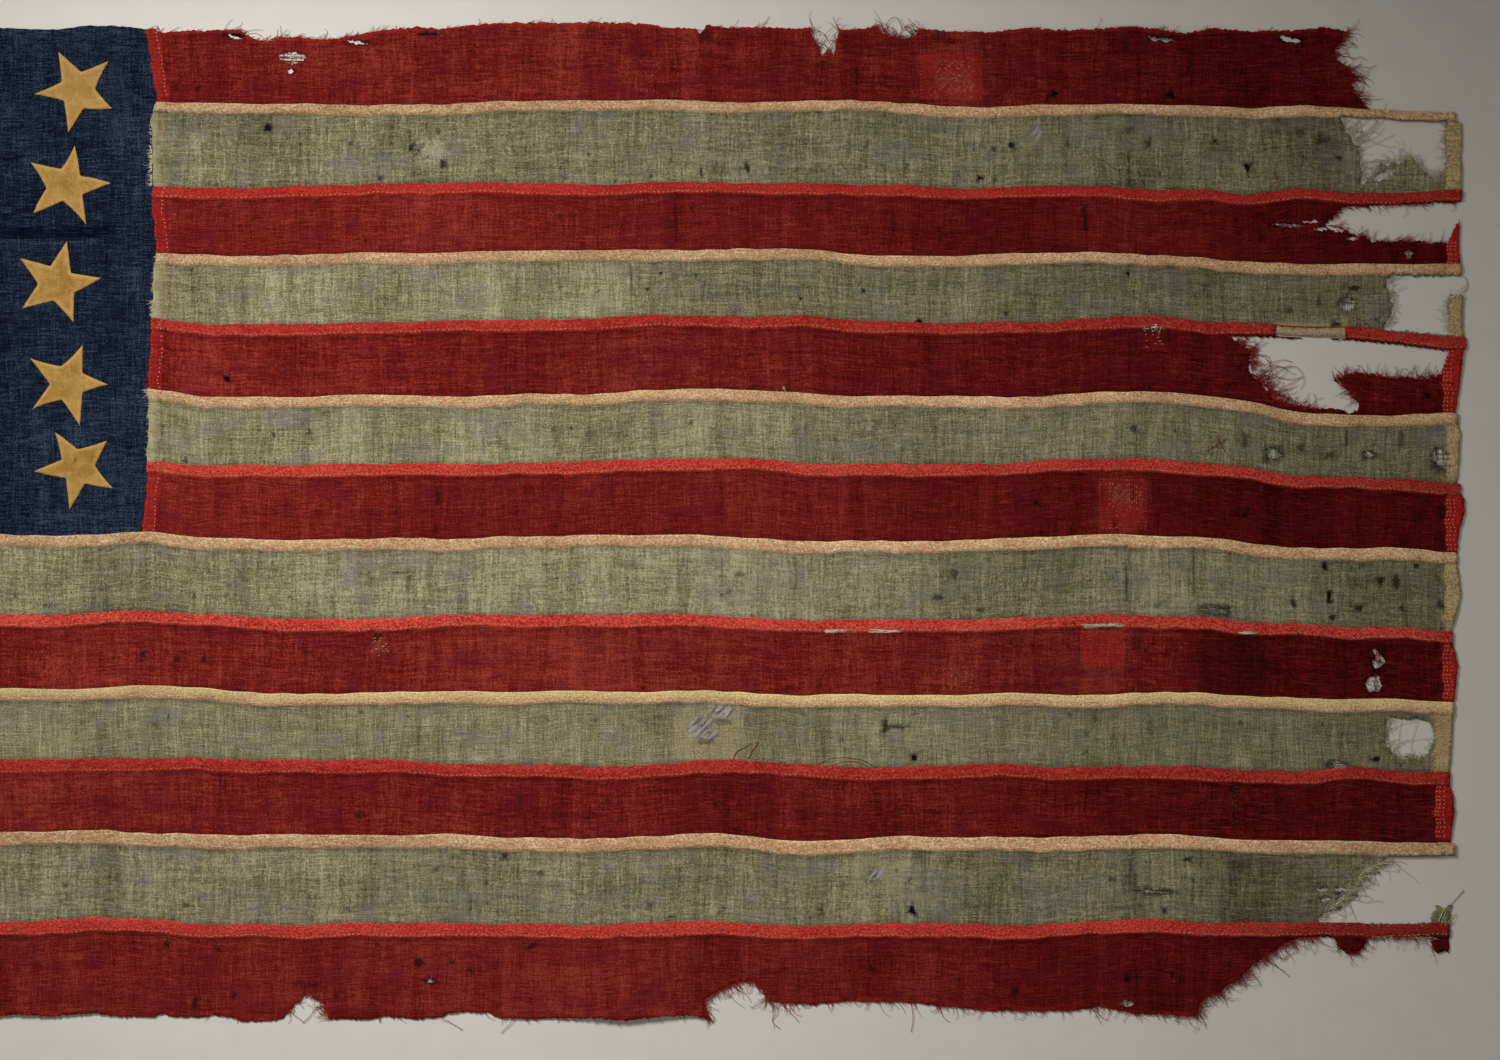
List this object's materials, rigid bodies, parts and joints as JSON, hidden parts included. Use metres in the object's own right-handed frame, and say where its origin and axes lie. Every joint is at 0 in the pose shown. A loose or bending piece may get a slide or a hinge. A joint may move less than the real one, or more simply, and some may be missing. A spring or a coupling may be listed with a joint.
{
  "type": "tattered flag",
  "caption": "worn hand-sewn bunting flag with a starred canton and red and cream stripes, lying flat, with felled seams, tears, frayed ends and repair pieces",
  "frame": {"origin": "middle of the flag's box, on the surface that it lies on", "axes": "+X along the stripes from the hoist to the fly, +Y up the hoist towards the first stripe, +Z out of the front of the cloth"},
  "size_m": [2.044, 0.9988, 0.006],
  "materials": {
    "red_bunting": "matte",
    "white_bunting": "matte",
    "blue_bunting": "matte",
    "star_cotton": "matte",
    "patch_red": "matte",
    "patch_white": "matte",
    "sewing_thread": "matte"
  },
  "bodies": {
    "root": {"stripe_01": "red_bunting", "stripe_02": "white_bunting", "stripe_03": "red_bunting", "stripe_04": "white_bunting", "stripe_05": "red_bunting", "stripe_06": "white_bunting", "stripe_07": "red_bunting", "stripe_08": "white_bunting", "stripe_09": "red_bunting", "stripe_10": "white_bunting", "stripe_11": "red_bunting", "stripe_12": "white_bunting", "stripe_13": "red_bunting", "canton": "blue_bunting", "star_11": "star_cotton", "star_12": "star_cotton", "star_13": "star_cotton", "star_14": "star_cotton", "star_15": "star_cotton", "star_21": "star_cotton", "star_22": "star_cotton", "star_23": "star_cotton", "star_24": "star_cotton", "star_25": "star_cotton", "star_31": "star_cotton", "star_32": "star_cotton", "star_33": "star_cotton", "star_34": "star_cotton", "star_35": "star_cotton", "star_41": "star_cotton", "star_42": "star_cotton", "star_43": "star_cotton", "star_44": "star_cotton", "star_45": "star_cotton", "star_51": "star_cotton", "star_52": "star_cotton", "star_53": "star_cotton", "star_54": "star_cotton", "star_55": "star_cotton", "star_61": "star_cotton", "star_62": "star_cotton", "star_63": "star_cotton", "star_64": "star_cotton", "star_65": "star_cotton", "patch_1": "patch_red", "patch_2": "patch_white", "patch_3": "patch_red", "patch_4": "patch_red", "patch_5": "patch_white", "patch_6": "patch_white"}
  },
  "joints": []
}
